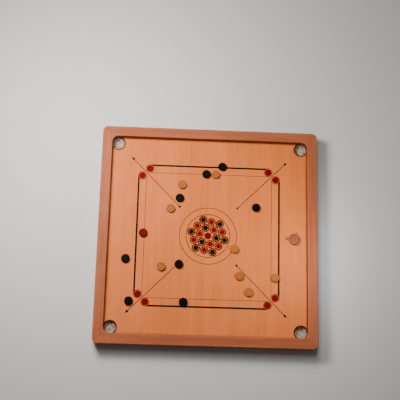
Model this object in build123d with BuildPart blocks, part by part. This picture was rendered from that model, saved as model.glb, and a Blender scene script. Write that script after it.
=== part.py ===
from build123d import *
import os
from math import cos, radians, sin

# A carrom board: a mitred hardwood frame round a plywood playing square, with four netted corner
# pockets, its printed marks, and the loose men, queen and striker that slide on it.
# The origin is on the floor under the middle of the board. +Y points to the back rail.

# ---------------------------------------------------------------------------
# Driving dimensions, in millimetres
# ---------------------------------------------------------------------------

# Frame
field_side = 740  # clear square between the rails
rail_width = 38
frame_height = 60
wall_height = 24  # from the playing surface to the top of the rails
outer_corner_radius = 20
inner_edge_radius = 4  # hand-softened edge over the playing square
outer_edge_radius = 2.5
foot_chamfer = 1

# Playing surface and pockets
ply_thickness = 8
ply_lip = 12  # how far the plywood runs under each rail
pocket_diameter = 44.5
pocket_edge_radius = 0.8

# Underside lattice
brace_width = 38
brace_depth = 20
brace_offset = 130  # from the board's centre line to a brace's centre line
brace_chamfer = 1.5

# Dowels across the mitres
dowel_radius = 4
dowel_length = 24
dowel_clearance = 0.05
dowel_heights = (16, 46)

# Screws up through the plywood's edge into the rails
screw_radius = 1.75
screw_head_radius = 3.4
screw_length = 20
screw_point = 3
screw_clearance = 0.1
recess_length = 4
recess_width = 0.9
recess_depth = 1.1
pilot_radius = 1.3
pilot_depth = 14
screw_places = (-270, -90, 90, 270)  # along each side

# Nails up through the braces, and tacks that hold the nets
nail_radius = 1.1
nail_head_radius = 3
nail_bite = 5  # how far the shank runs into the plywood
nail_places = (-330, -230, 0, 230, 330)  # along each brace
tack_radius = 0.8
tack_head_radius = 2.5
tack_bite = 6
tack_circle_radius = 29
tacks_per_pocket = 8
head_thickness = 0.8

# Pocket nets
net_cloth = 1.2
net_flange_radius = 33
net_bulge = 3.5  # how far the bag swells out past the pocket's edge
net_floor_gap = 2.5
net_floor_radius = 20

# Printed marks
ink_thickness = 0.12
base_circle_row = 252.6  # from the board's centre to a side's row of base circles
base_circle_spread = 224.6  # from the middle of a side to each of its two base circles
base_circle_radius = 16.4
base_disc_radius = 13.2
circle_line = 2
thick_line = 6.4
thin_line = 1.6
arrow_line = 2.4
arrow_start = 150  # distances along the diagonal from the board's centre
arrow_tip = 418
tail_head_length = 9.4
tail_head_width = 10.4
front_head_length = 15.5
front_head_width = 9.4
front_head_shoulder = 10.5  # from the tip back to the widest place
centre_ring_radius = 81.5
outer_ring_radius = 106.5
ring_line = 2.2
rosette_pitch = 31.8
rosette_turn = 47
rosette_dots = 8
hub_radius = 9
dot_radius = 2.5
dot_circle_radius = 13.2
spoke_width = 2.8
rosette_rim_radius = 15.2
rosette_rim_line = 3.9
side_ring_radius = 5.5
side_ring_place = (295.4, 0.5)
side_dot_radius = 2
side_dot_places = [(304, 0.7), (332, 22.5)]

# Playing pieces
piece_clearance = 0.03  # between a piece's underside and the print
man_radius = 15.9
man_thickness = 8.5
man_edge_radius = 1.8
light_man_grooves = (5, 11)  # radii of the turned rings on the two faces
dark_man_grooves = (12,)
groove_size = 0.7
striker_radius = 20.65
striker_thickness = 9.5
striker_edge_radius = 2.2
striker_grooves = (7, 16.5)

light_man_places = [
    (-101, 193),
    (-142, 100),
    (24, 237),
    (100, -47),
    (-170, -121),
    (120, -147),
    (155, -206),
    (252, -150),
]
black_man_places = [
    (49, 268),
    (-11, 237),
    (-109, 141),
    (179, 113),
    (-302, -95),
    (-105, -110),
    (-284, -251),
    (-85, -250),
]
queen_place = (-241, 3)
striker_place = (323, -3)

# ---------------------------------------------------------------------------
# Sizes that follow from them
# ---------------------------------------------------------------------------

outer_side = field_side + 2 * rail_width
ply_side = field_side + 2 * ply_lip
surface_z = frame_height - wall_height
ply_bottom = surface_z - ply_thickness
pocket_radius = pocket_diameter / 2
pocket_offset = field_side / 2 - pocket_radius
mitre_middle = (ply_side + outer_side) / 4
screw_row = (field_side + ply_side) / 4
brace_bottom = ply_bottom - brace_depth
piece_bottom = surface_z + ink_thickness + piece_clearance
print_plane = Plane.XY.offset(surface_z)
quarter_turns = (0, 90, 180, 270)


def save(part, name):
    """Label one finished piece and write it to its own file."""
    part.label = name
    export_step(part, f"parts/{name}.step")


def square(offset):
    """The four points at the same distance from both centre lines."""
    return [(x, y) for x in (-offset, offset) for y in (-offset, offset)]


def polar(radius, angle):
    """The point at this radius, and this angle in degrees from +X."""
    return (radius * cos(radians(angle)), radius * sin(radians(angle)))


def all_round(points):
    """The same points repeated on the board's four sides."""
    quarters = ((1, 0), (0, 1), (-1, 0), (0, -1))
    return [(x * c - y * s, x * s + y * c) for c, s in quarters for x, y in points]


def upright(place):
    """The vertical plane through a place, with its X outwards and its Y up, for turned profiles."""
    return Plane(origin=(*place, 0), x_dir=(1, 0, 0), z_dir=(0, -1, 0))


def copies(piece, places, height):
    """One group of separate copies of a piece, at these places and this height."""
    with BuildPart() as group:
        with Locations(*[(x, y, height) for x, y in places]):
            add(piece)
    return group.part


# ---------------------------------------------------------------------------
# Frame
# ---------------------------------------------------------------------------


def dowel_planes(mitres):
    """Planes on the mitres at these corner directions, each facing along its dowel."""
    return [
        Plane(origin=(x * mitre_middle, y * mitre_middle, height), z_dir=(-y, x, 0))
        for x, y in mitres
        for height in dowel_heights
    ]


def make_front_rail():
    """A rail with mitred ends, rebated for the plywood and bored for its dowels and screws."""
    with BuildPart() as rail:
        with BuildSketch():
            RectangleRounded(outer_side, outer_side, outer_corner_radius)
            RectangleRounded(field_side, field_side, pocket_radius, mode=Mode.SUBTRACT)
        extrude(amount=frame_height)
        fillet(rail.faces().sort_by(Axis.Z)[-1].inner_wires()[0].edges(), inner_edge_radius)
        fillet(rail.faces().sort_by(Axis.Z)[-1].outer_wire().edges(), outer_edge_radius)
        chamfer(rail.faces().sort_by(Axis.Z)[0].outer_wire().edges(), foot_chamfer)
        with BuildSketch():
            Rectangle(ply_side, ply_side)
        extrude(amount=surface_z, mode=Mode.SUBTRACT)
        for plane in dowel_planes([(-1, -1), (1, -1)]):
            with BuildSketch(plane):
                Circle(dowel_radius + dowel_clearance)
            extrude(amount=dowel_length / 2 + dowel_clearance, both=True, mode=Mode.SUBTRACT)
        with BuildSketch(print_plane):
            with Locations(*[(x, -screw_row) for x in screw_places]):
                Circle(pilot_radius)
        extrude(amount=pilot_depth, mode=Mode.SUBTRACT)
        with BuildSketch():
            with BuildLine():
                Polyline((0, 0), (-outer_side, -outer_side), (outer_side, -outer_side), close=True)
            make_face()
        extrude(amount=frame_height, mode=Mode.INTERSECT)
    return rail.part


def make_dowels():
    """Two glued dowels across each mitre."""
    with BuildPart() as dowels:
        for plane in dowel_planes(square(1)):
            with BuildSketch(plane):
                Circle(dowel_radius)
            extrude(amount=dowel_length / 2, both=True)
    return dowels.part


# ---------------------------------------------------------------------------
# Playing surface and the lattice under it
# ---------------------------------------------------------------------------


def make_playing_surface():
    """The plywood square, with four round pockets and countersunk screw holes from below."""
    with BuildPart() as surface:
        with BuildSketch(Plane.XY.offset(ply_bottom)):
            Rectangle(ply_side, ply_side)
            with Locations(*square(pocket_offset)):
                Circle(pocket_radius, mode=Mode.SUBTRACT)
        extrude(amount=ply_thickness)
        pocket_rims = surface.faces().sort_by(Axis.Z)[-1].inner_wires()
        fillet([rim.edges()[0] for rim in pocket_rims], pocket_edge_radius)
        underside = Plane.XY.offset(ply_bottom).rotated((180, 0, 0))
        with Locations(underside):
            with Locations(*all_round([(x, -screw_row) for x in screw_places])):
                CounterSinkHole(
                    radius=screw_radius + screw_clearance,
                    counter_sink_radius=screw_head_radius + screw_clearance,
                    counter_sink_angle=90,
                    depth=ply_thickness,
                )
    return surface.part


def make_brace(notch_bottom):
    """A brace along X with two half-lap notches, as deep as half the brace, from this height up."""
    with BuildPart() as brace:
        with BuildSketch(Plane.XY.offset(brace_bottom)):
            Rectangle(ply_side, brace_width)
        extrude(amount=brace_depth)
        long_edges = brace.edges().filter_by(Axis.X).group_by(Axis.Z)[0]
        chamfer(long_edges, brace_chamfer)
        with BuildSketch(Plane.XY.offset(notch_bottom)):
            with Locations((-brace_offset, 0), (brace_offset, 0)):
                Rectangle(brace_width, brace_width)
        extrude(amount=brace_depth / 2, mode=Mode.SUBTRACT)
    return brace.part


# ---------------------------------------------------------------------------
# Fasteners, each made with the underside of its head at height 0
# ---------------------------------------------------------------------------


def make_screw():
    """A countersunk wood screw pointing up, with a cross recess in its head."""
    head_cone = screw_head_radius - screw_radius
    with BuildPart() as screw:
        with BuildSketch(Plane.XZ):
            with BuildLine():
                Polyline(
                    (0, 0),
                    (screw_head_radius, 0),
                    (screw_radius, head_cone),
                    (screw_radius, screw_length - screw_point),
                    (0, screw_length),
                    close=True,
                )
            make_face()
        revolve(axis=Axis.Z)
        with BuildSketch():
            Rectangle(recess_length, recess_width)
            Rectangle(recess_width, recess_length)
        extrude(amount=recess_depth, mode=Mode.SUBTRACT)
    return screw.part


def make_nail(radius, head_radius, length):
    """A round nail pointing up, with a flat head below height 0."""
    with BuildPart() as nail:
        with BuildSketch():
            Circle(head_radius)
        extrude(amount=-head_thickness)
        with BuildSketch():
            Circle(radius)
        extrude(amount=length - 2 * radius)
        with BuildSketch(Plane.XY.offset(length - 2 * radius)):
            Circle(radius)
        with BuildSketch(Plane.XY.offset(length)):
            Circle(radius / 8)
        loft()
    return nail.part


# ---------------------------------------------------------------------------
# Pocket nets
# ---------------------------------------------------------------------------


def make_net(place):
    """One shallow bag under a pocket, with the flat cloth band that is tacked to the plywood."""
    floor = net_floor_gap
    middle = (ply_bottom + floor) / 2
    with BuildPart() as net:
        with BuildSketch(upright(place)):
            with BuildLine():
                Polyline(
                    (pocket_radius, ply_bottom),
                    (net_flange_radius, ply_bottom),
                    (net_flange_radius, ply_bottom - net_cloth),
                    (pocket_radius + net_cloth, ply_bottom - net_cloth),
                )
                ThreePointArc(
                    (pocket_radius + net_cloth, ply_bottom - net_cloth),
                    (pocket_radius + net_bulge + net_cloth, middle),
                    (net_floor_radius, floor),
                )
                Polyline(
                    (net_floor_radius, floor),
                    (0, floor),
                    (0, floor + net_cloth),
                    (net_floor_radius - net_cloth, floor + net_cloth),
                )
                ThreePointArc(
                    (net_floor_radius - net_cloth, floor + net_cloth),
                    (pocket_radius + net_bulge, middle),
                    (pocket_radius, ply_bottom),
                )
            make_face()
        revolve(axis=Axis((*place, 0), (0, 0, 1)))
    return net.part


# ---------------------------------------------------------------------------
# Printed marks, each a thin film of ink on the playing surface
# ---------------------------------------------------------------------------


def make_front_baseline():
    """A thick and a thin line that run between two open circles."""
    outer_row = base_circle_row + base_circle_radius - thick_line / 2
    inner_row = base_circle_row - base_circle_radius + thin_line / 2
    with BuildPart() as mark:
        with BuildSketch(print_plane):
            with Locations((0, -outer_row)):
                Rectangle(2 * base_circle_spread, thick_line)
            with Locations((0, -inner_row)):
                Rectangle(2 * base_circle_spread, thin_line)
            with Locations(*[(x, -base_circle_row) for x in (-base_circle_spread, base_circle_spread)]):
                Circle(base_circle_radius)
                Circle(base_circle_radius - circle_line, mode=Mode.SUBTRACT)
        extrude(amount=ink_thickness)
    return mark.part


def make_discs(places, radius):
    """Round spots of ink."""
    with BuildPart() as mark:
        with BuildSketch(print_plane):
            with Locations(*places):
                Circle(radius)
        extrude(amount=ink_thickness)
    return mark.part


def make_ring(radius, line):
    """A thin circle about the board's centre."""
    with BuildPart() as mark:
        with BuildSketch(print_plane):
            Circle(radius + line / 2)
            Circle(radius - line / 2, mode=Mode.SUBTRACT)
        extrude(amount=ink_thickness)
    return mark.part


def make_arrows():
    """Four diagonal lines, with a small head by the centre and a slender one by the pocket."""
    tail_end = arrow_start + tail_head_length
    shoulder = arrow_tip - front_head_shoulder
    head_back = arrow_tip - front_head_length
    with BuildPart() as mark:
        for turn in quarter_turns:
            with BuildSketch(print_plane.rotated((0, 0, turn + 45))):
                with Locations(((tail_end + head_back) / 2, 0)):
                    Rectangle(head_back - tail_end + arrow_line, arrow_line)
                with BuildLine():
                    Polyline(
                        (arrow_start, -tail_head_width / 2),
                        (tail_end, -arrow_line / 2),
                        (tail_end, arrow_line / 2),
                        (arrow_start, tail_head_width / 2),
                        close=True,
                    )
                make_face()
                with BuildLine():
                    Polyline(
                        (head_back, -arrow_line / 2),
                        (shoulder, -front_head_width / 2),
                        (arrow_tip, 0),
                        (shoulder, front_head_width / 2),
                        (head_back, arrow_line / 2),
                        close=True,
                    )
                make_face()
            extrude(amount=ink_thickness)
    return mark.part


def make_rosettes(places_and_turns):
    """Rosettes of a solid hub and eight spokes in a rim whose edge is beaded with dots."""
    with BuildPart() as mark:
        with BuildSketch(print_plane):
            for place, turn in places_and_turns:
                with Locations(place):
                    Circle(rosette_rim_radius)
                    Circle(rosette_rim_radius - rosette_rim_line, mode=Mode.SUBTRACT)
                    Circle(hub_radius)
                    with PolarLocations(dot_circle_radius, rosette_dots, turn):
                        Circle(dot_radius)
                    with PolarLocations(0, rosette_dots, turn):
                        Rectangle(dot_circle_radius, spoke_width, align=(Align.MIN, Align.CENTER))
        extrude(amount=ink_thickness)
    return mark.part


def rosette_ring(radius, angles):
    """Places on a circle about the board's centre, each with the direction its spokes start from."""
    return [(polar(radius, angle), angle) for angle in angles]


def make_side_mark():
    """A small open ring and two dots on the right-hand side of the board."""
    with BuildPart() as mark:
        with BuildSketch(print_plane):
            with Locations(side_ring_place):
                Circle(side_ring_radius)
                Circle(side_ring_radius - circle_line, mode=Mode.SUBTRACT)
            with Locations(*side_dot_places):
                Circle(side_dot_radius)
        extrude(amount=ink_thickness)
    return mark.part


# ---------------------------------------------------------------------------
# Playing pieces
# ---------------------------------------------------------------------------


def make_turned_disc(place, radius, thickness, edge_radius, grooves):
    """A flat turned disc with rounded edges and shallow rings on both faces."""
    with BuildPart() as disc:
        with BuildSketch(Plane.XY.offset(piece_bottom)):
            with Locations(place):
                Circle(radius)
        extrude(amount=thickness)
        fillet(disc.edges().filter_by(GeomType.CIRCLE), edge_radius)
        with BuildSketch(upright(place)):
            with Locations(*[(r, z) for r in grooves for z in (piece_bottom, piece_bottom + thickness)]):
                Rectangle(groove_size, groove_size, rotation=45)
        revolve(axis=Axis((*place, 0), (0, 0, 1)), mode=Mode.SUBTRACT)
    return disc.part


# ---------------------------------------------------------------------------
# Write every piece
# ---------------------------------------------------------------------------

os.makedirs("parts", exist_ok=True)

front_rail = make_front_rail()
front_baseline = make_front_baseline()
for side, turn in zip(("front", "right", "back", "left"), quarter_turns):
    save(front_rail.rotate(Axis.Z, turn), f"rail_{side}")
    save(front_baseline.rotate(Axis.Z, turn), f"baseline_{side}")
save(make_dowels(), "mitre_dowels")

save(make_playing_surface(), "playing_surface")
lower_brace = make_brace(brace_bottom + brace_depth / 2)
upper_brace = make_brace(brace_bottom)
save(Pos(0, -brace_offset) * lower_brace, "brace_front")
save(Pos(0, brace_offset) * lower_brace, "brace_back")
save(Pos(-brace_offset, 0) * upper_brace.rotate(Axis.Z, 90), "brace_left")
save(Pos(brace_offset, 0) * upper_brace.rotate(Axis.Z, 90), "brace_right")

screw_points = all_round([(x, -screw_row) for x in screw_places])
save(copies(make_screw(), screw_points, ply_bottom + screw_clearance / 2), "deck_screws")
nail_points = all_round([(x, -brace_offset) for x in nail_places]) + square(brace_offset)
nail = make_nail(nail_radius, nail_head_radius, brace_depth + nail_bite)
save(copies(nail, nail_points, brace_bottom), "brace_nails")
tack_angles = [360 / tacks_per_pocket * (n + 0.5) for n in range(tacks_per_pocket)]
tack_points = [
    (x + polar(tack_circle_radius, angle)[0], y + polar(tack_circle_radius, angle)[1])
    for x, y in square(pocket_offset)
    for angle in tack_angles
]
tack = make_nail(tack_radius, tack_head_radius, net_cloth + tack_bite)
save(copies(tack, tack_points, ply_bottom - net_cloth), "net_tacks")

for name, (x, y) in zip(("front_left", "back_left", "front_right", "back_right"), square(pocket_offset)):
    save(make_net((x, y)), f"pocket_net_{name}")

base_circles = all_round([(x, -base_circle_row) for x in (-base_circle_spread, base_circle_spread)])
save(make_discs(base_circles, base_disc_radius), "base_discs")
save(make_arrows(), "arrows")
save(make_ring(centre_ring_radius, ring_line), "centre_ring")
save(make_ring(outer_ring_radius, ring_line), "outer_ring")
save(make_discs([(0, 0)], base_disc_radius), "centre_disc")
black_inner = rosette_ring(rosette_pitch, [rosette_turn + 60 + step for step in (0, 120, 240)])
black_outer = rosette_ring(2 * rosette_pitch, [rosette_turn + step for step in range(0, 360, 60)])
red_inner = rosette_ring(rosette_pitch, [rosette_turn + step for step in (0, 120, 240)])
red_outer = rosette_ring(3**0.5 * rosette_pitch, [rosette_turn + 30 + step for step in range(0, 360, 60)])
save(make_rosettes(black_inner + black_outer), "rosettes_black")
save(make_rosettes(red_inner + red_outer), "rosettes_red")
save(make_side_mark(), "side_mark")

for number, place in enumerate(light_man_places, 1):
    man = make_turned_disc(place, man_radius, man_thickness, man_edge_radius, light_man_grooves)
    save(man, f"light_man_{number}")
for number, place in enumerate(black_man_places, 1):
    man = make_turned_disc(place, man_radius, man_thickness, man_edge_radius, dark_man_grooves)
    save(man, f"black_man_{number}")
queen = make_turned_disc(queen_place, man_radius, man_thickness, man_edge_radius, dark_man_grooves)
save(queen, "queen")
striker = make_turned_disc(
    striker_place, striker_radius, striker_thickness, striker_edge_radius, striker_grooves
)
save(striker, "striker")
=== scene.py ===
import bpy
import bmesh
import math
import random
from mathutils import Matrix, Vector, noise


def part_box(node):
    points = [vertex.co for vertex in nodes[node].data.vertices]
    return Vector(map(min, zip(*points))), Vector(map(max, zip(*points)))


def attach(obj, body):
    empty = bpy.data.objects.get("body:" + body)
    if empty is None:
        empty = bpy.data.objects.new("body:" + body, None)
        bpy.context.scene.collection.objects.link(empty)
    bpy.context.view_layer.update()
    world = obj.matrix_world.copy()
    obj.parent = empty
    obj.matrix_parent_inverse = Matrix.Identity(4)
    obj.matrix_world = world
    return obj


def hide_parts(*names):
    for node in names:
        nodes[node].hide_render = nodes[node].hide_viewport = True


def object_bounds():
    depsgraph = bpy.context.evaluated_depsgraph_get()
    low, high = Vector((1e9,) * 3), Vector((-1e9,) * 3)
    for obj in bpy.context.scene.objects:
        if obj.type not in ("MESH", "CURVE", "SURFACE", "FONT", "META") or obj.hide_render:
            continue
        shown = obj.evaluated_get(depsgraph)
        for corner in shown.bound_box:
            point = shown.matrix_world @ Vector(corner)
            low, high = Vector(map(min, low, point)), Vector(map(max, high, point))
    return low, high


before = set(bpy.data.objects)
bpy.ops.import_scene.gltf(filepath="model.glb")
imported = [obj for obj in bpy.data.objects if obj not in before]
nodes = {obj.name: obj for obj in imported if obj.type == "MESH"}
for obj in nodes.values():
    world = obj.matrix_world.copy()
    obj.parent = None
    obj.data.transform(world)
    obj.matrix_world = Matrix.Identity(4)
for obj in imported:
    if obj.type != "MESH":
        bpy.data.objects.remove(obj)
cad_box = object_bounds()

# Looks for a carrom board. Lengths are in metres, +Z up, +Y towards the back rail.

MM = 0.001

# ---------------------------------------------------------------------------
# Places read from the frame, and the model's dimensions that the materials need
# ---------------------------------------------------------------------------

FIELD_LOW, FIELD_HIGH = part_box("playing_surface")
FIELD_TOP = FIELD_HIGH.z
FIELD_UNDERSIDE = FIELD_LOW.z
BOARD_HALF = cad_box[1].x
RAIL_TOP = cad_box[1].z
FIELD_HALF = 370 * MM  # out to the rails' inner walls
RAIL_WIDTH = BOARD_HALF - FIELD_HALF
PLY_COUNT = 5
POCKET_RADIUS = 22.25 * MM
BASE_LINE_OUTER = 262 * MM  # the thick base lines lie past this
BASE_LINE_END = 222 * MM
ARROW_HEADS = (159.5 * MM, 403 * MM)  # along a diagonal, a head lies before the first and past the second
POCKET_RIM_SHADE = (4 * MM, 5 * MM)  # how wide a pocket's dark rim of painted shade is, and where it has faded out; it stands in for the shadow gap at the hole's edge
WEAR_MARKS = (
    (0.1338, -0.3168, 1.5 * MM),  # place across and along, and radius
    (0.1339, -0.3277, 1.3 * MM),
    (0.2572, -0.0388, 2.0 * MM),
)


def middle(node):
    """The middle of a node's box."""
    low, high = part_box(node)
    return (low + high) / 2


def numbered(stem):
    """The frame's nodes that share this stem, in order."""
    return sorted(name for name in nodes if name.startswith(stem))


def add_object(name, data):
    """A new object in the scene that shows a mesh, curve, light or camera."""
    made = bpy.data.objects.new(name, data)
    bpy.context.scene.collection.objects.link(made)
    return made


# ---------------------------------------------------------------------------
# Materials: a small builder, where each method adds one node and returns its output
# ---------------------------------------------------------------------------


class Surface:
    """One material on a Principled shader."""

    def __init__(self, name, grain_turn=(0, 0, 0)):
        self.material = bpy.data.materials.new(name)
        self.material.use_nodes = True
        self.tree = self.material.node_tree
        self.shader = self.tree.nodes["Principled BSDF"]
        self.coordinates = self.tree.nodes.new("ShaderNodeTexCoord")
        turned = self.tree.nodes.new("ShaderNodeMapping")
        turned.inputs["Rotation"].default_value = grain_turn
        self.tree.links.new(self.coordinates.outputs["Object"], turned.inputs["Vector"])
        self.place = turned.outputs["Vector"]

    def node(self, kind, inputs=(), **settings):
        """Add a node, set its properties, and fill its inputs by name or number."""
        made = self.tree.nodes.new(kind)
        for key, value in settings.items():
            setattr(made, key, value)
        for key, value in dict(inputs).items():
            if isinstance(value, bpy.types.NodeSocket):
                self.tree.links.new(value, made.inputs[key])
            else:
                made.inputs[key].default_value = value
        return made

    def set(self, **values):
        """Set the shader's own sockets, by names with underscores for spaces."""
        for key, value in values.items():
            socket = self.shader.inputs[key.replace("_", " ")]
            if isinstance(value, bpy.types.NodeSocket):
                self.tree.links.new(value, socket)
            else:
                socket.default_value = value

    def stretch(self, x, y, z, move=(0, 0, 0)):
        """The surface's place with each axis multiplied, so a large number makes fine detail."""
        inputs = {"Vector": self.place, "Scale": (x, y, z), "Location": move}
        return self.node("ShaderNodeMapping", inputs).outputs["Vector"]

    def noise(self, vector, detail=2.0, roughness=0.5, distortion=0.0):
        inputs = {
            "Vector": vector,
            "Scale": 1.0,
            "Detail": detail,
            "Roughness": roughness,
            "Distortion": distortion,
        }
        return self.node("ShaderNodeTexNoise", inputs).outputs["Fac"]

    def cells(self, vector):
        """Distance to the nearest of a scatter of points, about one for each unit cube."""
        return self.node("ShaderNodeTexVoronoi", {"Vector": vector, "Scale": 1.0}).outputs["Distance"]

    def math(self, operation, a, b=0.0):
        return self.node("ShaderNodeMath", {0: a, 1: b}, operation=operation).outputs[0]

    def remap(self, value, low, high, to_low=0.0, to_high=1.0, smooth=False):
        """Carry a value from one range to another, clamped."""
        inputs = {"Value": value, 1: low, 2: high, 3: to_low, 4: to_high}
        kind = "SMOOTHSTEP" if smooth else "LINEAR"
        return self.node("ShaderNodeMapRange", inputs, interpolation_type=kind).outputs[0]

    def mix(self, factor, a, b):
        """Mix two colours, each a socket or an (r, g, b)."""
        made = self.node("ShaderNodeMix", data_type="RGBA")
        for socket, value in zip((made.inputs[0], made.inputs[6], made.inputs[7]), (factor, a, b)):
            if isinstance(value, bpy.types.NodeSocket):
                self.tree.links.new(value, socket)
            elif isinstance(value, tuple):
                socket.default_value = (*value, 1.0)
            else:
                socket.default_value = value
        return made.outputs[2]

    def bump(self, height, distance, strength):
        inputs = {"Height": height, "Distance": distance, "Strength": strength}
        return self.node("ShaderNodeBump", inputs).outputs["Normal"]

    def normal_z(self):
        """How far the surface faces up, from -1 to 1."""
        split = self.node("ShaderNodeSeparateXYZ", {0: self.coordinates.outputs["Normal"]})
        return split.outputs[2]

    def axis(self, which):
        """The surface's place along one axis, in metres."""
        split = self.node("ShaderNodeSeparateXYZ", {0: self.coordinates.outputs["Object"]})
        return split.outputs[which]

    def from_centre(self, centre, four_ways=False):
        """Distance in plan from a vertical line through a centre, or from four mirrored ones."""
        place = self.coordinates.outputs["Object"]
        if four_ways:
            place = self.node("ShaderNodeVectorMath", {0: place}, operation="ABSOLUTE").outputs[0]
        inputs = {0: place, 1: centre}
        offset = self.node("ShaderNodeVectorMath", inputs, operation="SUBTRACT").outputs[0]
        flat = self.node("ShaderNodeVectorMath", {0: offset, 1: (1, 1, 0)}, operation="MULTIPLY")
        return self.node("ShaderNodeVectorMath", {0: flat.outputs[0]}, operation="LENGTH").outputs[1]


# ---------------------------------------------------------------------------
# Wood
# ---------------------------------------------------------------------------

GRAIN_ALONG_Y = (0, 0, 0)
GRAIN_ALONG_X = (0, 0, math.radians(90))


def grain(s, pale, dark, streak, seed, strength=0.6):
    """Colour and relief of planed wood with its grain along the surface's own Y."""
    shift = (seed * 0.37, seed * 1.91, seed * 0.73)
    tone = s.noise(s.stretch(6, 1.6, 6, shift), detail=3, roughness=0.6)
    figure = s.noise(s.stretch(75, 3.5, 75, shift), detail=5, roughness=0.62, distortion=0.6)
    fibre = s.noise(s.stretch(900, 22, 900, shift), detail=3, roughness=0.6)
    fleck = s.remap(s.noise(s.stretch(1300, 150, 1300, shift), detail=1), 0.66, 0.74)
    colour = s.mix(s.remap(tone, 0.3, 0.7), dark, pale)
    colour = s.mix(s.remap(figure, 0.42, 0.72, 0.0, strength), colour, streak)
    colour = s.mix(s.remap(fibre, 0.35, 0.75, 0.0, 0.28), colour, streak)
    colour = s.mix(s.math("MULTIPLY", fleck, 0.45), colour, tuple(0.45 * c for c in streak))
    relief = s.math("SUBTRACT", fibre, s.math("MULTIPLY", fleck, 1.5))
    return colour, relief


def rail_wood(name, grain_turn, seed):
    """Lacquered rail: fine pinkish hardwood, a dark glue line at each mitre, rubbed outer edges, and
    painted shade on its inner walls.
    """
    s = Surface(name, grain_turn)
    colour, relief = grain(s, (0.54, 0.150, 0.060), (0.42, 0.111, 0.041), (0.27, 0.061, 0.020), seed)
    across = s.math("ABSOLUTE", s.axis(0))
    along = s.math("ABSOLUTE", s.axis(1))
    from_mitre = s.math("ABSOLUTE", s.math("SUBTRACT", across, along))
    seam = s.remap(from_mitre, 0.15 * MM, 0.6 * MM, 0.75, 0.0)
    colour = s.mix(seam, colour, (0.08, 0.022, 0.010))
    inset = s.math("SUBTRACT", BOARD_HALF, s.math("MAXIMUM", across, along))
    drop = s.math("SUBTRACT", RAIL_TOP, s.axis(2))
    near_edge = s.remap(s.math("ADD", inset, drop), 1.5 * MM, 6 * MM, 1.0, 0.0, smooth=True)
    patchy = s.remap(s.noise(s.stretch(60, 60, 60), detail=4), 0.42, 0.62)
    rubbed = s.math("MULTIPLY", near_edge, patchy)
    colour = s.mix(s.math("MULTIPLY", rubbed, 0.45), colour, (0.62, 0.24, 0.11))
    # Painted shade: the rails' inner walls are darkened as if they were in shadow.
    upright = s.remap(s.normal_z(), 0.4, 0.7, 1.0, 0.0)
    inner_wall_shade = s.math("MULTIPLY", upright, s.remap(inset, RAIL_WIDTH - 2 * MM, RAIL_WIDTH - 0.5 * MM))
    colour = s.mix(s.math("MULTIPLY", inner_wall_shade, 0.72), colour, (0.075, 0.014, 0.004))
    smudge = s.remap(s.noise(s.stretch(18, 18, 18), detail=4), 0.35, 0.7, 0.46, 0.62)
    rough = s.math("ADD", smudge, s.math("MULTIPLY", rubbed, 0.15))
    s.set(Base_Color=colour, Roughness=rough, Normal=s.bump(relief, 0.00006, 0.5))
    s.set(Specular_IOR_Level=0.14)
    return s.material


def field_wood():
    """The playing surface: polished face veneer above, layers inside the pockets, bare ply below."""
    s = Surface("field_veneer")
    colour, relief = grain(s, (0.90, 0.233, 0.046), (0.79, 0.183, 0.031), (0.58, 0.120, 0.018), 4, 0.45)
    warm = s.noise(s.stretch(5, 4, 5, (3, 1, 0)), detail=4, roughness=0.55)
    colour = s.mix(s.remap(warm, 0.42, 0.62, 0.0, 0.4), colour, (0.90, 0.226, 0.064))
    sheen_bands = s.noise(s.stretch(28, 1.1, 28, (9, 0, 0)), detail=3)
    colour = s.mix(s.remap(sheen_bands, 0.45, 0.7, 0.0, 0.4), colour, (0.70, 0.160, 0.028))
    # Wear marks, plus painted shade: dark rims round the pockets and darkening along the foot of the
    # rails.
    colour = stains_and_painted_shade(s, colour)
    smudge = s.remap(s.noise(s.stretch(14, 11, 14), detail=5), 0.35, 0.7, 0.46, 0.62)
    scuffs = scratches(s)
    rough = s.math("ADD", smudge, s.math("MULTIPLY", scuffs, 0.2))
    colour = s.mix(s.math("MULTIPLY", scuffs, 0.12), colour, (0.90, 0.40, 0.20))
    facing = s.normal_z()
    below = s.remap(facing, -0.6, -0.4, 1.0, 0.0)
    bare_figure = s.noise(s.stretch(5, 70, 70), detail=5, distortion=0.8)
    bare = s.mix(s.remap(bare_figure, 0.35, 0.7), (0.60, 0.42, 0.25), (0.43, 0.27, 0.14))
    colour = s.mix(below, colour, bare)
    inside = s.math("MULTIPLY", s.remap(facing, 0.35, 0.5, 1.0, 0.0), s.remap(facing, -0.5, -0.35))
    layer = (FIELD_TOP - FIELD_UNDERSIDE) / PLY_COUNT
    step = s.math("FLOORED_MODULO", s.math("SUBTRACT", s.axis(2), FIELD_UNDERSIDE), 2 * layer)
    dark_layer = s.remap(step, layer * 0.96, layer * 1.04)
    edge_fibre = s.noise(s.stretch(500, 500, 120), detail=3)
    edge_colour = s.mix(dark_layer, (0.17, 0.060, 0.026), (0.09, 0.030, 0.012))
    edge_colour = s.mix(s.remap(edge_fibre, 0.4, 0.7, 0.0, 0.5), edge_colour, (0.06, 0.018, 0.008))
    colour = s.mix(inside, colour, edge_colour)
    rough = s.math("MAXIMUM", rough, s.remap(facing, 0.35, 0.5, 0.75, 0.0))
    s.set(Base_Color=colour, Roughness=rough, Normal=s.bump(relief, 0.00004, 0.4))
    s.set(Specular_IOR_Level=0.14)
    return s.material


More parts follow.
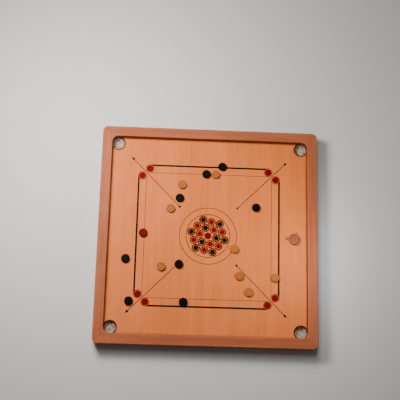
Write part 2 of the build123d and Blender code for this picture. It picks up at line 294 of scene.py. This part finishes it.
def stains_and_painted_shade(s, colour):
    """Painted shade as a dark rim round each pocket, standing in for the shadow gap at the hole's edge;
    darkening along the foot of the rails, painted shade that also stands for grime; and three small marks
    of wear.
    """
    # Painted shade: a dark ring just past each pocket's edge, standing in for the shadow gap between the
    # hole's edge and the net.
    pocket = (FIELD_HALF - POCKET_RADIUS, FIELD_HALF - POCKET_RADIUS, 0)
    past_edge = s.math("SUBTRACT", s.from_centre(pocket, four_ways=True), POCKET_RADIUS)
    rim = s.remap(past_edge, *POCKET_RIM_SHADE, 0.96, 0.0)
    colour = s.mix(rim, colour, (0.014, 0.004, 0.002))
    # Darkening along the foot of the rails: painted shade that also stands for grime.
    furthest = s.math("MAXIMUM", s.math("ABSOLUTE", s.axis(0)), s.math("ABSOLUTE", s.axis(1)))
    uneven = s.remap(s.noise(s.stretch(50, 50, 50), detail=3), 0.3, 0.7, 0.35, 0.85)
    grime = s.math("MULTIPLY", s.remap(furthest, FIELD_HALF - 7 * MM, FIELD_HALF), uneven)
    colour = s.mix(grime, colour, (0.22, 0.045, 0.012))
    for across, along, radius in WEAR_MARKS:
        dent = s.remap(s.from_centre((across, along, 0)), 0.6 * radius, radius, 0.8, 0.0)
        colour = s.mix(dent, colour, (0.10, 0.022, 0.007))
    return colour


def scratches(s):
    """Sparse fine lines at a few slants, where discs have slid, from 0 to 1."""
    found = 0.0
    for slant in (20, 75, 130):  # degrees
        inputs = {
            "Vector": s.coordinates.outputs["Object"],
            "Rotation": (0, 0, math.radians(slant)),
            "Scale": (700, 5, 5),
            "Location": (slant, 0, 0),
        }
        along = s.node("ShaderNodeMapping", inputs).outputs["Vector"]
        line = s.remap(s.noise(along, detail=0), 0.74, 0.8)
        found = s.math("MAXIMUM", found, line)
    return found


def brace_wood(name, grain_turn, seed):
    """Bare planed softwood with strong figure and a few knots."""
    s = Surface(name, grain_turn)
    colour, relief = grain(s, (0.62, 0.43, 0.24), (0.50, 0.31, 0.15), (0.36, 0.19, 0.08), seed)
    knot = s.remap(s.cells(s.stretch(14, 6, 14, (seed, 0, 0))), 0.06, 0.14, 1.0, 0.0, smooth=True)
    colour = s.mix(s.math("MULTIPLY", knot, 0.8), colour, (0.17, 0.075, 0.03))
    rough = s.remap(s.noise(s.stretch(40, 8, 40), detail=3), 0.3, 0.7, 0.62, 0.8)
    s.set(Base_Color=colour, Roughness=rough, Normal=s.bump(relief, 0.0001, 0.6))
    return s.material


# ---------------------------------------------------------------------------
# Ink, turned pieces, metal and cotton
# ---------------------------------------------------------------------------


def ink(name, colour, faded, elsewhere=None):
    """Printed ink, slightly uneven and rubbed. Elsewhere gives the share and colour of a second ink."""
    s = Surface(name)
    cover = s.noise(s.stretch(260, 260, 260), detail=4, roughness=0.65)
    broad = s.noise(s.stretch(25, 25, 25), detail=2)
    fade = s.math("MULTIPLY", s.remap(cover, 0.5, 0.75), s.remap(broad, 0.35, 0.65, 0.15, 0.7))
    tone = s.mix(fade, colour, faded)
    if elsewhere:
        share, second = elsewhere
        tone = s.mix(share(s), tone, second)
    rough = s.remap(cover, 0.3, 0.7, 0.45, 0.6)
    s.set(Base_Color=tone, Roughness=rough, Normal=s.bump(cover, 0.00003, 0.4))
    s.set(Specular_IOR_Level=0.04)
    return s.material


def thin_lines(s):
    """1 on the thin lines and open circles of a baseline, 0 on its thick outer line."""
    across = s.math("ABSOLUTE", s.axis(0))
    along = s.math("ABSOLUTE", s.axis(1))
    outer = s.math("GREATER_THAN", s.math("MAXIMUM", across, along), BASE_LINE_OUTER)
    between = s.math("LESS_THAN", s.math("MINIMUM", across, along), BASE_LINE_END)
    return s.math("SUBTRACT", 1.0, s.math("MULTIPLY", outer, between))


def arrow_shafts(s):
    """1 on an arrow's shaft, 0 on its two heads."""
    reach = s.from_centre((0, 0, 0))
    past_tail = s.math("GREATER_THAN", reach, ARROW_HEADS[0])
    before_head = s.math("LESS_THAN", reach, ARROW_HEADS[1])
    return s.math("MULTIPLY", past_tail, before_head)


def turned_wood(name, centre, pale, dark, polish, turn, seed, burnt=()):
    """A lathe-turned disc: fine grain one way, faint rings, and darker burnt ones at some radii."""
    s = Surface(name, (0, 0, turn))
    shift = (seed * 2.3, seed * 1.1, 0)
    figure = s.noise(s.stretch(420, 60, 420, shift), detail=4, roughness=0.6, distortion=0.4)
    tone = s.noise(s.stretch(30, 22, 30, shift), detail=2)
    colour = s.mix(s.remap(figure, 0.35, 0.7), pale, dark)
    colour = s.mix(s.remap(tone, 0.35, 0.65, 0.0, 0.4), colour, dark)
    radius = s.from_centre(centre)
    rings = s.math("SINE", s.math("MULTIPLY", radius, math.tau / (0.8 * MM)))
    wobble = s.noise(s.stretch(200, 200, 200), detail=2)
    mark = s.math("MULTIPLY", s.remap(rings, 0.2, 1.0), s.remap(wobble, 0.4, 0.7))
    colour = s.mix(s.math("MULTIPLY", mark, 0.25), colour, tuple(0.5 * c for c in dark))
    for ring_radius, half_width, strength in burnt:
        off = s.math("ABSOLUTE", s.math("SUBTRACT", radius, ring_radius))
        scorch = s.remap(off, 0.4 * half_width, half_width, strength, 0.0, smooth=True)
        colour = s.mix(scorch, colour, tuple(0.22 * c for c in dark))
    dents = s.remap(s.cells(s.stretch(330, 330, 330, shift)), 0.1, 0.35)
    rough = s.remap(s.noise(s.stretch(120, 120, 120), detail=3), 0.3, 0.7, polish - 0.06, polish + 0.1)
    relief = s.math("ADD", s.math("MULTIPLY", rings, 0.3), dents)
    s.set(Base_Color=colour, Roughness=rough, Normal=s.bump(relief, 0.00004, 0.5))
    s.set(Specular_IOR_Level=0.04)
    return s.material


def striker_resin(centre):
    """Cast resin with cloudy swirls, fine turning marks, and grime in its scratches and round its rim."""
    s = Surface("striker_resin")
    swirl = s.noise(s.stretch(60, 60, 90), detail=5, roughness=0.55, distortion=1.6)
    colour = s.mix(s.remap(swirl, 0.35, 0.65), (0.33, 0.090, 0.026), (0.24, 0.056, 0.015))
    cloud = s.noise(s.stretch(35, 35, 35, (2, 5, 1)), detail=3)
    colour = s.mix(s.remap(cloud, 0.5, 0.7, 0.0, 0.6), colour, (0.42, 0.125, 0.040))
    streak = s.remap(s.noise(s.stretch(420, 60, 60, (1, 3, 0)), detail=3, distortion=0.8), 0.56, 0.66)
    colour = s.mix(s.math("MULTIPLY", streak, 0.6), colour, (0.10, 0.018, 0.006))
    radius = s.from_centre(centre)
    for ring_radius, half_width, strength in ((16.5 * MM, 0.9 * MM, 0.6), (20.9 * MM, 1.6 * MM, 0.8)):
        off = s.math("ABSOLUTE", s.math("SUBTRACT", radius, ring_radius))
        grime = s.remap(off, 0.4 * half_width, half_width, strength, 0.0, smooth=True)
        colour = s.mix(grime, colour, (0.13, 0.026, 0.009))
    rings = s.math("SINE", s.math("MULTIPLY", radius, math.tau / (0.6 * MM)))
    rough = s.remap(s.noise(s.stretch(90, 90, 90), detail=4), 0.35, 0.7, 0.26, 0.44)
    s.set(Base_Color=colour, Roughness=rough, Normal=s.bump(rings, 0.00001, 0.3))
    s.set(Specular_IOR_Level=0.2)
    return s.material


def metal(name, colour, tarnish, rough_low, rough_high):
    """Plated or bright steel with dull spots and fine pits."""
    s = Surface(name)
    spots = s.noise(s.stretch(700, 700, 700), detail=4)
    tone = s.mix(s.remap(spots, 0.45, 0.7), colour, tarnish)
    pits = s.cells(s.stretch(2500, 2500, 2500))
    rough = s.remap(spots, 0.35, 0.7, rough_low, rough_high)
    s.set(Base_Color=tone, Roughness=rough, Normal=s.bump(pits, 0.00002, 0.3), Metallic=1.0)
    return s.material


def cotton(name, pale, grey):
    """Twisted cotton cord: off-white, a little soiled, fuzzy, with painted shade along its folds."""
    s = Surface(name)
    soil = s.noise(s.stretch(70, 70, 70), detail=4)
    fuzz = s.noise(s.stretch(4200, 4200, 4200), detail=3, roughness=0.7)
    twist = s.noise(s.stretch(1500, 1500, 2600, (5, 5, 5)), detail=2, distortion=1.5)
    tone = s.mix(s.remap(soil, 0.38, 0.66), pale, grey)
    # Painted shade: dark lines along a crumpled pattern, standing in for the shadows in the net's folds.
    crease = s.noise(s.stretch(95, 95, 60, (1, 4, 2)), detail=3, distortion=2.2)
    painted_fold_shade = s.remap(s.math("ABSOLUTE", s.math("SUBTRACT", crease, 0.5)), 0.012, 0.045, 0.8, 0.0)
    tone = s.mix(painted_fold_shade, tone, tuple(0.22 * c for c in grey))
    tone = s.mix(s.remap(twist, 0.5, 0.75, 0.0, 0.5), tone, tuple(0.55 * c for c in grey))
    relief = s.math("ADD", fuzz, twist)
    s.set(Base_Color=tone, Roughness=0.9, Normal=s.bump(relief, 0.0002, 0.8))
    s.set(Sheen_Weight=0.3, Sheen_Roughness=0.5)
    return s.material


def put(material, *names):
    """Give whole CAD nodes one material."""
    for name in names:
        mesh = nodes[name].data
        mesh.materials.clear()
        mesh.materials.append(material)


def paint_board():
    for seed, side in enumerate(("front", "back"), 1):
        put(rail_wood(f"rail_wood_{side}", GRAIN_ALONG_X, seed), f"rail_{side}")
        put(brace_wood(f"brace_wood_{side}", GRAIN_ALONG_X, seed), f"brace_{side}")
    for seed, side in enumerate(("left", "right"), 3):
        put(rail_wood(f"rail_wood_{side}", GRAIN_ALONG_Y, seed), f"rail_{side}")
        put(brace_wood(f"brace_wood_{side}", GRAIN_ALONG_Y, seed), f"brace_{side}")
    put(field_wood(), "playing_surface")
    put(brace_wood("dowel_wood", GRAIN_ALONG_Y, 7), "mitre_dowels")
    put(metal("screw_zinc", (0.60, 0.57, 0.50), (0.35, 0.32, 0.26), 0.3, 0.5), "deck_screws")
    put(metal("nail_steel", (0.50, 0.49, 0.47), (0.22, 0.19, 0.16), 0.35, 0.6), "brace_nails", "net_tacks")


def paint_marks():
    black, worn = (0.003, 0.002, 0.0015), (0.012, 0.006, 0.003)
    brown = (0.026, 0.008, 0.003)
    put(ink("ink_black", black, worn), "rosettes_black", "side_mark")
    put(ink("ink_lines", black, worn, (thin_lines, (0.13, 0.024, 0.012))), *numbered("baseline_"))
    put(ink("ink_arrows", black, worn, (arrow_shafts, brown)), "arrows")
    put(ink("ink_brown", brown, (0.12, 0.034, 0.012)), "centre_ring")
    put(ink("ink_thin_red", (0.16, 0.006, 0.005), (0.26, 0.020, 0.012)), "outer_ring")
    red = ink("ink_red", (0.17, 0.002, 0.003), (0.22, 0.006, 0.006))
    put(red, "base_discs", "centre_disc", "rosettes_red")


# Burnt rings on the faces of a light man: radius, half width, strength.
LIGHT_MAN_RINGS = ((5.0 * MM, 1.2 * MM, 0.7), (10.6 * MM, 1.5 * MM, 0.75), (16.2 * MM, 2.2 * MM, 0.8))


def paint_pieces():
    drawn = random.Random(11)
    for name in numbered("light_man_"):
        warmth = drawn.uniform(-0.04, 0.04)
        pale = (0.66 + warmth, 0.200 + warmth / 3, 0.045)
        dark = (0.48 + warmth, 0.125 + warmth / 3, 0.024)
        turn, seed = drawn.uniform(0, math.pi), drawn.random()
        wood = turned_wood(f"{name}_wood", middle(name), pale, dark, 0.36, turn, seed, LIGHT_MAN_RINGS)
        put(wood, name)
    for name in numbered("black_man_"):
        turn = drawn.uniform(0, math.pi)
        pale, dark = (0.004, 0.0032, 0.0026), (0.002, 0.0016, 0.0013)
        put(turned_wood(f"{name}_wood", middle(name), pale, dark, 0.32, turn, drawn.random()), name)
    pale, dark = (0.165, 0.001, 0.003), (0.115, 0.001, 0.002)
    put(turned_wood("queen_wood", middle("queen"), pale, dark, 0.34, 0.6, 0.5), "queen")
    put(striker_resin(middle("striker")), "striker")


# ---------------------------------------------------------------------------
# Pocket nets: each is a knotted cotton bag, simulated as cloth and then made of cord
# ---------------------------------------------------------------------------

CORNERS = ("front_left", "back_left", "front_right", "back_right")
NET_COLUMNS = 40  # meshes around the rim
NET_ROWS = 33  # from the rim down to the end of the tuft
NET_ROW_STEP = 1.95 * MM
NECK_ROW = NET_ROWS - 3  # where the bag is tied
NECK_RADIUS = 2.4 * MM
TUFT_FLARE = 1.1 * MM  # how far each row past the neck spreads
RIM_RADIUS = 24.2 * MM
RIM_DROP = 0.8 * MM  # the rim hangs this far under the plywood
CORD_RADIUS = 0.6 * MM
LOWEST_CORD = 0.9 * MM  # middle of a cord that lies on the floor
PLEAT_DEPTH = 0.2  # share of the radius
SIM_SCALE = 20  # cloth settles better at the size of a sack
SIM_FRAMES = 64
SIM_REST_FRAMES = 14  # at the end, with nothing pushing
FLOOR_START = -34 * MM  # below the longest hanging bag
FLOOR_END = 17 * MM  # a stiff crumpled bag stays bunched up above the table
FLOOR_PUSH = 9 * MM  # sideways, each way from the middle
FLOOR_TILT = 0.3  # at the start, in radians
TAPE_INNER = 22.9 * MM
TAPE_OUTER = 32.6 * MM
TAPE_THICKNESS = 1.0 * MM
STITCH_RADIUS = 0.35 * MM
STITCH_INNER = RIM_RADIUS + 0.4 * MM
STITCH_OUTER = RIM_RADIUS + 3.2 * MM
STITCH_DROP = 0.3 * MM  # from a stitch's outer end to its inner ones


def bag_profile(row):
    """Radius and depth of one row: straight sides, a round bottom drawn in to a neck, then a tuft."""
    round_rows = RIM_RADIUS * math.pi / 2 / NET_ROW_STEP
    straight_rows = NECK_ROW - round_rows
    turn = min(max((row - straight_rows) / round_rows, 0), 1) * math.pi / 2
    radius = max(RIM_RADIUS * math.cos(turn), NECK_RADIUS)
    depth = min(row, straight_rows) * NET_ROW_STEP + RIM_RADIUS * math.sin(turn)
    past = max(row - NECK_ROW, 0)
    return radius + past * TUFT_FLARE, depth + past * NET_ROW_STEP * 0.8


def hanging_bag(name, rim_z, drawn):
    """The bag before it meets the floor, lightly pleated, as a mesh of diamond faces."""
    lobes = drawn.choice((4, 5, 6))
    phase = drawn.uniform(0, math.tau)
    points = []
    for row in range(NET_ROWS):
        radius, depth = bag_profile(row)
        swing = PLEAT_DEPTH * math.sin(math.pi * min(row / NECK_ROW, 1))
        for column in range(NET_COLUMNS):
            angle = math.tau * (column + (row % 2) / 2) / NET_COLUMNS
            pleat = 1 + swing * math.cos(lobes * angle + phase + 0.8 * math.sin(angle + phase))
            reach = radius * pleat
            points.append(Vector((reach * math.cos(angle), reach * math.sin(angle), rim_z - depth)))
    faces = []
    for row in range(NET_ROWS - 2):
        for column in range(NET_COLUMNS):
            left = column - 1 + row % 2
            ring = ((row, column), (row + 1, left), (row + 2, column), (row + 1, left + 1))
            faces.append([net_index(*knot) for knot in ring])
    for column in range(NET_COLUMNS):
        faces.append([net_index(0, column), net_index(1, column), net_index(0, column + 1)])
    mesh = bpy.data.meshes.new(name)
    mesh.from_pydata([point * SIM_SCALE for point in points], [], faces)
    bag = add_object(name, mesh)
    rim = bag.vertex_groups.new(name="rim")
    rim.add(list(range(NET_COLUMNS)), 1.0, "REPLACE")
    gathered = bag.vertex_groups.new(name="gathered")
    gathered.add(list(range(NET_COLUMNS * (NECK_ROW - 6), NET_COLUMNS * NET_ROWS)), 1.0, "REPLACE")
    return bag, points


def net_index(row, column):
    return row * NET_COLUMNS + column % NET_COLUMNS


def rising_floor(drawn):
    """A table top that comes up under the hanging bag and drags it a little sideways."""
    steps = 12
    half = 70 * MM * SIM_SCALE
    line = [half * (2 * i / steps - 1) for i in range(steps + 1)]
    wide = steps + 1
    faces = []
    for j in range(steps):
        for i in range(steps):
            corner = j * wide + i
            faces.append((corner, corner + 1, corner + 1 + wide, corner + wide))
    mesh = bpy.data.meshes.new("rising_floor")
    mesh.from_pydata([(x, y, 0) for y in line for x in line], [], faces)
    table = add_object("rising_floor", mesh)
    table.modifiers.new("collision", "COLLISION")
    table.collision.thickness_outer = 0.01
    table.collision.cloth_friction = 30
    heading = drawn.uniform(0, math.tau)
    along = Vector((math.cos(heading), math.sin(heading), 0)) * FLOOR_PUSH
    start = (1, Vector((0, 0, FLOOR_START)) - along, FLOOR_TILT)
    end = (SIM_FRAMES - SIM_REST_FRAMES, Vector((0, 0, FLOOR_END)) + along, 0)
    for when, place, tilt in (start, end):
        table.location = place * SIM_SCALE
        table.rotation_euler = (tilt * math.sin(heading), -tilt * math.cos(heading), 0)
        table.keyframe_insert("location", frame=when)
        table.keyframe_insert("rotation_euler", frame=when)
    return table


def settled_bag(rim_z, seed):
    """The bag's knots after it has hung and crumpled on the floor, row by row."""
    drawn = random.Random(seed)
    bag, points = hanging_bag("hanging_bag", rim_z, drawn)
    table = rising_floor(drawn)
    cloth = bag.modifiers.new("cloth", "CLOTH")
    settings = cloth.settings
    settings.quality = 7
    settings.mass = 0.2
    settings.tension_stiffness = 20
    settings.compression_stiffness = 20
    settings.shear_stiffness = 4
    settings.bending_stiffness = 1.5
    settings.air_damping = 2
    settings.vertex_group_mass = "rim"
    contact = cloth.collision_settings
    contact.collision_quality = 3
    contact.distance_min = 0.012
    contact.use_self_collision = True
    contact.self_distance_min = 0.018
    contact.vertex_group_self_collisions = "gathered"
    scene = bpy.context.scene
    scene.frame_start, scene.frame_end = 1, SIM_FRAMES
    cloth.point_cache.frame_start, cloth.point_cache.frame_end = 1, SIM_FRAMES
    for when in range(1, SIM_FRAMES + 1):
        scene.frame_set(when)
    settled = bag.evaluated_get(bpy.context.evaluated_depsgraph_get())
    points = [corner.co / SIM_SCALE for corner in settled.to_mesh().vertices]
    settled.to_mesh_clear()
    bpy.data.objects.remove(bag)
    bpy.data.objects.remove(table)
    scene.frame_set(1)
    return points


def add_cord(curve, points):
    """One cord of a net, through (place, thickness) pairs."""
    spline = curve.splines.new("POLY")
    spline.points.add(len(points) - 1)
    for point, (place, thickness) in zip(spline.points, points):
        point.co = (place.x, place.y, max(place.z, LOWEST_CORD), 1)
        point.radius = thickness


def cord_net(name, centre, points, material):
    """Two families of slanting cords, thick where they are knotted, and the tie around the neck."""
    curve = bpy.data.curves.new(name, "CURVE")
    curve.dimensions = "3D"
    curve.bevel_depth = CORD_RADIUS
    curve.bevel_resolution = 1
    curve.use_fill_caps = True
    for lean in (0, 1):
        for start in range(NET_COLUMNS):
            column = start
            knots = []
            for row in range(NET_ROWS):
                knots.append(points[net_index(row, column)])
                column += row % 2 - lean
            cord = []
            for knot, following in zip(knots, knots[1:]):
                cord += [(knot, 1.3), ((knot + following) / 2, 0.88)]
            add_cord(curve, cord + [(knots[-1], 1.2)])
    add_cord(curve, neck_tie(points))
    return as_mesh(name, curve, centre, material)


def neck_tie(points):
    """Three turns of cord round the bag's neck."""

    def middle_of(row):
        return sum((points[net_index(row, i)] for i in range(NET_COLUMNS)), Vector()) / NET_COLUMNS

    axis = (middle_of(NECK_ROW + 1) - middle_of(NECK_ROW - 2)).normalized()
    side = axis.orthogonal().normalized()
    other = axis.cross(side)
    neck = middle_of(NECK_ROW)
    ring = [points[net_index(NECK_ROW, i)] for i in range(NET_COLUMNS)]
    reach = sum((knot - neck).length for knot in ring) / NET_COLUMNS + CORD_RADIUS
    turns, steps = 3, 14
    tie = []
    for k in range(turns * steps + 1):
        angle = math.tau * k / steps
        out = side * math.cos(angle) + other * math.sin(angle)
        climb = (k / (turns * steps) - 0.5) * turns * 1.6 * CORD_RADIUS
        tie.append((neck + axis * climb + out * reach, 1.0))
    return tie


def as_mesh(name, curve, centre, material):
    """Turn a curve into a mesh object at a pocket's centre."""
    source = add_object(name + "_curve", curve)
    mesh = bpy.data.meshes.new_from_object(source.evaluated_get(bpy.context.evaluated_depsgraph_get()))
    bpy.data.objects.remove(source)
    welded = bmesh.new()
    welded.from_mesh(mesh)
    bmesh.ops.remove_doubles(welded, verts=welded.verts, dist=0.001 * MM)
    welded.to_mesh(mesh)
    welded.free()
    mesh.transform(Matrix.Translation((centre.x, centre.y, 0)))
    mesh.materials.clear()
    mesh.materials.append(material)
    for face in mesh.polygons:
        face.use_smooth = True
    return add_object(name, mesh)


def rim_tape(name, centre, top_z, material, seed):
    """A soft flat ring of cotton tape under the plywood, with stitches over its inner edge."""
    steps, sides = 144, 12
    middle_radius = (TAPE_INNER + TAPE_OUTER) / 2
    half_width = (TAPE_OUTER - TAPE_INNER) / 2
    half_thick = TAPE_THICKNESS / 2
    points, faces = [], []
    for i in range(steps):
        angle = math.tau * i / steps
        out = Vector((math.cos(angle), math.sin(angle), 0))
        ripple = noise.noise(Vector((4 * out.x, 4 * out.y, seed)))
        for k in range(sides):
            turn = math.tau * k / sides
            across = math.copysign(abs(math.cos(turn)) ** 0.35, math.cos(turn))
            up = math.copysign(abs(math.sin(turn)) ** 0.6, math.sin(turn))
            lowered = 0.5 * half_thick * ripple if up < 0 else 0
            radius = middle_radius + half_width * across + 0.25 * MM * ripple
            point = out * radius
            point.z = top_z - half_thick + half_thick * up + lowered
            points.append(point)
    for i in range(steps):
        for k in range(sides):
            here, there = i * sides, (i + 1) % steps * sides
            step = (k + 1) % sides
            faces.append((here + k, there + k, there + step, here + step))
    mesh = bpy.data.meshes.new(name)
    mesh.from_pydata(points, [], faces)
    mesh.transform(Matrix.Translation((centre.x, centre.y, 0)))
    mesh.materials.append(material)
    for face in mesh.polygons:
        face.use_smooth = True
    return add_object(name, mesh)


def rim_stitches(name, centre, top_z, material):
    """Loops of thread that hang the bag's top row from the tape."""
    curve = bpy.data.curves.new(name, "CURVE")
    curve.dimensions = "3D"
    curve.bevel_depth = STITCH_RADIUS
    curve.bevel_resolution = 1
    curve.use_fill_caps = True
    under = top_z - TAPE_THICKNESS - 0.25 * MM
    for i in range(NET_COLUMNS):
        angle = math.tau * i / NET_COLUMNS
        slant = math.tau * (i + 0.5) / NET_COLUMNS
        out = Vector((math.cos(angle), math.sin(angle), 0))
        aside = Vector((math.cos(slant), math.sin(slant), 0))
        start = out * STITCH_INNER + Vector((0, 0, under - STITCH_DROP))
        end = aside * STITCH_OUTER + Vector((0, 0, under))
        add_cord(curve, [(start, 1), (end, 1)])
        following = math.tau * (i + 1) / NET_COLUMNS
        onward = Vector((math.cos(following), math.sin(following), 0))
        back = onward * STITCH_INNER + Vector((0, 0, under - STITCH_DROP))
        add_cord(curve, [(end, 1), (back, 1)])
    return as_mesh(name, curve, centre, material)


def make_nets():
    white = cotton("net_cotton_cord", (0.78, 0.56, 0.43), (0.58, 0.41, 0.31))
    woven = cotton("net_cotton_tape", (0.60, 0.45, 0.33), (0.42, 0.31, 0.22))
    for seed, corner in enumerate(CORNERS, 1):
        node = f"pocket_net_{corner}"
        centre = middle(node)
        top_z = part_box(node)[1].z - 0.05 * MM
        points = settled_bag(top_z - RIM_DROP, seed)
        net = cord_net(f"net_cords_{corner}", centre, points, white)
        tape = rim_tape(f"net_tape_{corner}", centre, top_z, woven, seed)
        stitches = rim_stitches(f"net_stitches_{corner}", centre, top_z, white)
        for piece in (net, tape, stitches):
            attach(piece, "board")
        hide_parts(node)


# ---------------------------------------------------------------------------
# Camera, light and floor
# ---------------------------------------------------------------------------

CAMERA_PLACE = Vector((-0.1572, -0.6115, FIELD_TOP + 3.0647))
CAMERA_AIM = Vector((-0.0329, 0.1367, FIELD_TOP))
CAMERA_TURN = math.radians(-1.46)  # the board lies slightly turned in the view
CAMERA_LENS = 75.48  # on a frame as wide as the sensor, both in millimetres
CAMERA_SENSOR = 36
FLOOR_SIDE = 8


def make_camera():
    data = bpy.data.cameras.new("camera")
    data.lens = CAMERA_LENS
    data.sensor_width = CAMERA_SENSOR
    camera = add_object("camera", data)
    forward = (CAMERA_AIM - CAMERA_PLACE).normalized()
    away = Vector((math.sin(CAMERA_TURN), math.cos(CAMERA_TURN), 0))
    right = forward.cross(away).normalized()
    up = right.cross(forward)
    turned = Matrix((right, up, -forward)).transposed().to_4x4()
    camera.matrix_world = Matrix.Translation(CAMERA_PLACE) @ turned
    bpy.context.scene.camera = camera


def area_light(name, place, aim, width, height, watts, colour, turn=0):
    """A soft rectangular light that the camera doesn't see, turned about its own direction in degrees."""
    data = bpy.data.lights.new(name, "AREA")
    data.shape = "RECTANGLE"
    data.size = width
    data.size_y = height
    data.energy = watts
    data.color = colour
    light = add_object(name, data)
    facing = (Vector(aim) - Vector(place)).to_track_quat("-Z", "Y").to_matrix().to_4x4()
    spin = Matrix.Rotation(math.radians(turn), 4, "Z")
    light.matrix_world = Matrix.Translation(place) @ facing @ spin
    light.visible_camera = False


def make_lights():
    area_light("key", (-0.62, 0.48, 1.05), (-0.18, 0.14, 0), 0.5, 0.5, 22, (1.0, 0.97, 0.94))
    area_light("gloss", (-0.13, 0.83, 3.15), (0, 0, 0), 1.1, 0.45, 18, (1.0, 0.98, 0.96), turn=45)
    area_light("side", (0.33, -0.07, 0.32), (0.33, -0.07, 0), 0.12, 0.25, 0.8, (0.97, 1.0, 1.05))
    world = bpy.data.worlds.new("soft_room")
    world.use_nodes = True
    background = world.node_tree.nodes["Background"]
    background.inputs["Color"].default_value = (0.95, 0.96, 1.0, 1)
    background.inputs["Strength"].default_value = 0.08
    bpy.context.scene.world = world


def make_floor():
    mesh = bpy.data.meshes.new("floor")
    half = FLOOR_SIDE / 2
    ring = [(-half, -half, 0), (half, -half, 0), (half, half, 0), (-half, half, 0)]
    mesh.from_pydata(ring, [], [(0, 1, 2, 3)])
    s = Surface("floor_paper")
    mottled = s.noise(s.stretch(3, 3, 3), detail=3)
    s.set(Base_Color=s.mix(mottled, (0.74, 0.73, 0.71), (0.78, 0.77, 0.75)), Roughness=0.9)
    mesh.materials.append(s.material)
    add_object("floor", mesh)


# ---------------------------------------------------------------------------

make_camera()
paint_board()
paint_marks()
paint_pieces()
make_nets()
make_lights()
make_floor()
